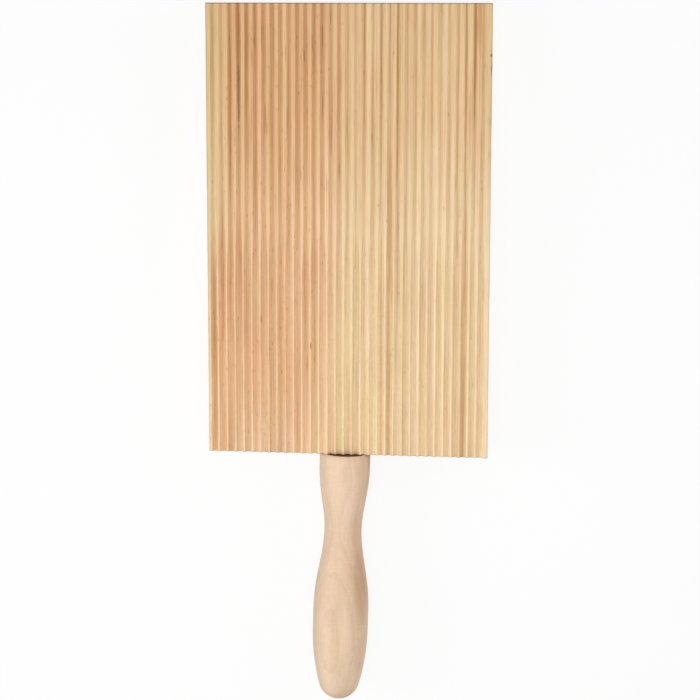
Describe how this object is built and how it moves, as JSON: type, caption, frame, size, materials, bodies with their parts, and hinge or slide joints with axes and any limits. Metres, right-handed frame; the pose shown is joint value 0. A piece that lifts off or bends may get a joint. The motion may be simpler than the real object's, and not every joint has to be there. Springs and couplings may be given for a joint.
{
  "type": "gnocchi board",
  "caption": "Wooden pastry board with round-bottomed grooves along its face for rolling gnocchi and garganelli, and a turned handle on one end.",
  "frame": {"origin": "centre of the plank's flat back, at half its length along the middle and half its width", "axes": "+Z out of the grooved face, +Y along the grooves away from the handle, +X to the right when the handle points towards the user"},
  "size_m": [0.135, 0.3419, 0.0273],
  "materials": {
    "board_wood": "planed and lightly oiled, open-pored ash",
    "handle_wood": "turned and sanded, bare pale beech",
    "dowel_wood": "fluted beech, glued in"
  },
  "bodies": {
    "root": {"ridged_board": "board_wood", "handle": "handle_wood", "handle_dowel": "dowel_wood"}
  },
  "joints": []
}
